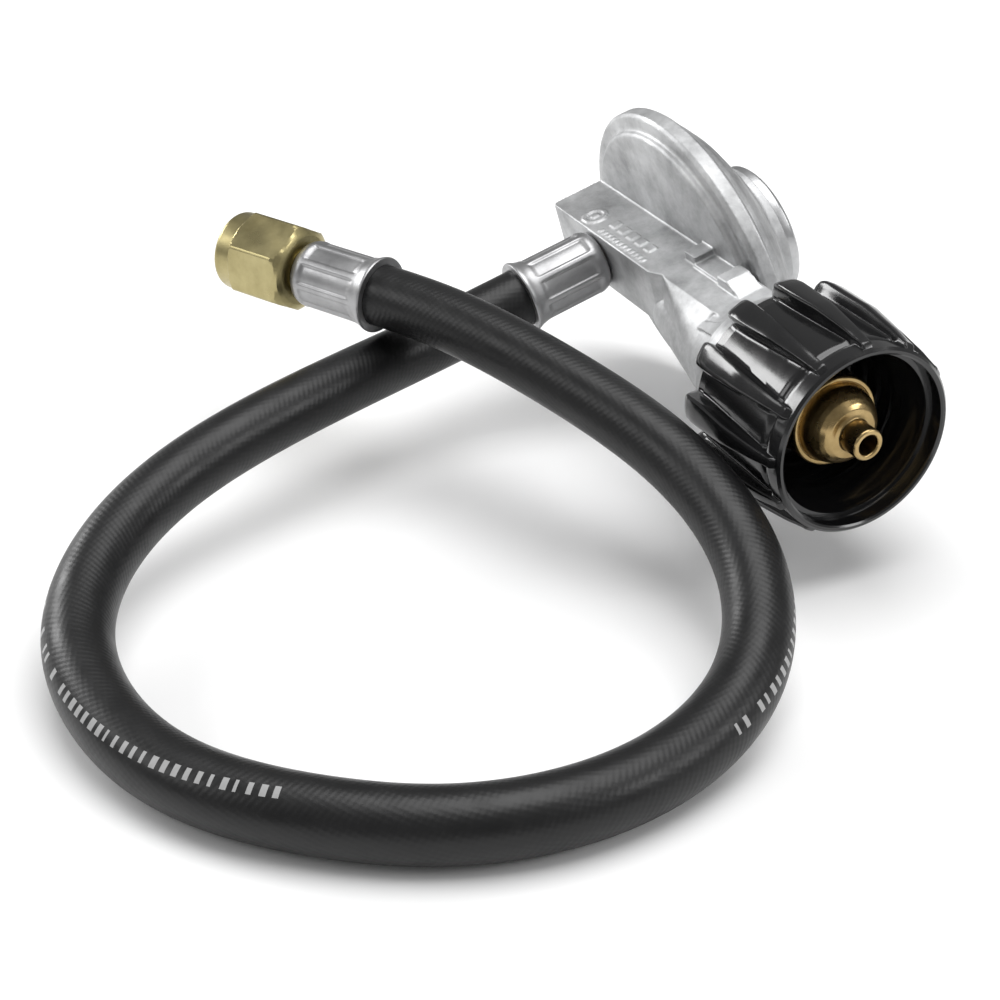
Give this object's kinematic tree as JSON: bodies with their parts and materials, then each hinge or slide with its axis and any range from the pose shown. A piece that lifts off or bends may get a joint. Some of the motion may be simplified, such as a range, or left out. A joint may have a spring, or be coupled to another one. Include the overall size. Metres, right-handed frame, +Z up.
{
  "type": "low-pressure regulator and hose assembly with a screw-on tank coupling and a flare swivel nut",
  "caption": "Round diaphragm gas regulator with a ribbed tank coupling nut, a looped black rubber hose crimped at both ends and a brass flare swivel nut",
  "frame": {"origin": "centre of the underside of the regulator and its coupling, on the plane the part lies on", "axes": "+X along the coupling's axis out of its mouth, +Y towards the spring bonnet, +Z up from the plane it lies on"},
  "size_m": [0.1919, 0.203, 0.077],
  "materials": {
    "casting": "satin die-cast zinc alloy, lightly grained",
    "cap": "satin, smooth pressed disc",
    "nut": "moulded black plastic, glossy with soft reflections",
    "nipple": "machined and polished brass",
    "flare": "machined brass, slightly dull",
    "ferrule": "plated steel, satin, crimped",
    "hose": "matte black rubber with a faint wrapped texture",
    "rubber_inner": "matte moulded rubber",
    "bushing": "moulded plastic, matte",
    "inner_brass": "turned brass",
    "spring": "plain steel"
  },
  "bodies": {
    "regulator": {"body_casting": "casting", "bonnet": "casting", "closing_cap": "cap", "main_spring": "spring", "diaphragm": "rubber_inner", "lever_pin": "spring", "orifice": "inner_brass", "vent_screen": "spring", "inlet_nipple": "nipple", "poppet_spring": "spring", "flow_seat": "inner_brass", "outlet_barb": "nipple", "outlet_ferrule": "ferrule", "outlet_hose_end": "hose", "hose": "hose", "far_hose_end": "hose", "far_ferrule": "ferrule", "flare_insert": "flare"},
    "adjuster": {"adjusting_disc": "inner_brass"},
    "diaphragm_group": {"diaphragm_plate": "spring", "stem": "inner_brass", "relief_spring": "spring", "stem_nut": "inner_brass"},
    "lever_arm": {"lever": "spring"},
    "valve": {"valve_holder": "inner_brass", "valve_pad": "rubber_inner"},
    "bushing": {"thermal_bushing": "bushing"},
    "nut": {"coupling_nut": "nut"},
    "poppet": {"flow_poppet": "inner_brass"},
    "swivel_nut": {"flare_nut": "flare"}
  },
  "joints": [
    {"name": "adjuster_turn", "type": "hinge", "parent": "regulator", "child": "adjuster", "pos_m": [-0.0252, 0.02367, 0.04275], "axis": [0, 0.9588, 0.284], "continuous": true},
    {"name": "diaphragm_slide", "type": "slide", "parent": "regulator", "child": "diaphragm_group", "axis": [0, 0.9588, 0.284], "range_m": [-0.001, 0.0012], "stiffness_N_per_m": 300, "deforming": ["main_spring", "diaphragm"]},
    {"name": "lever_hinge", "type": "hinge", "parent": "regulator", "child": "lever_arm", "pos_m": [-0.0072, -0.00421, 0.03971], "axis": [0, -0.284, 0.9588], "range_deg": [-4, 4]},
    {"name": "valve_slide", "type": "slide", "parent": "regulator", "child": "valve", "axis": [1, 0, 0], "range_m": [-0.0003, 0.00036]},
    {"name": "nut_slide", "type": "slide", "parent": "regulator", "child": "bushing", "axis": [1, 0, 0], "range_m": [0, 0.0025]},
    {"name": "nut_spin", "type": "hinge", "parent": "bushing", "child": "nut", "pos_m": [0.0468, -0.00298, 0.03486], "axis": [1, 0, 0], "continuous": true},
    {"name": "poppet_slide", "type": "slide", "parent": "regulator", "child": "poppet", "axis": [1, 0, 0], "range_m": [-0.002, 0], "stiffness_N_per_m": 200, "deforming": ["poppet_spring"]},
    {"name": "flare_spin", "type": "hinge", "parent": "regulator", "child": "swivel_nut", "pos_m": [-0.06161, -0.08538, 0.04322], "axis": [-0.876, -0.4818, 0.0219], "continuous": true}
  ],
  "couplings": [
    {"joint": "lever_hinge", "follows": "diaphragm_slide", "rad_per_m": -55.556},
    {"joint": "valve_slide", "follows": "diaphragm_slide", "ratio": 0.2944}
  ]
}
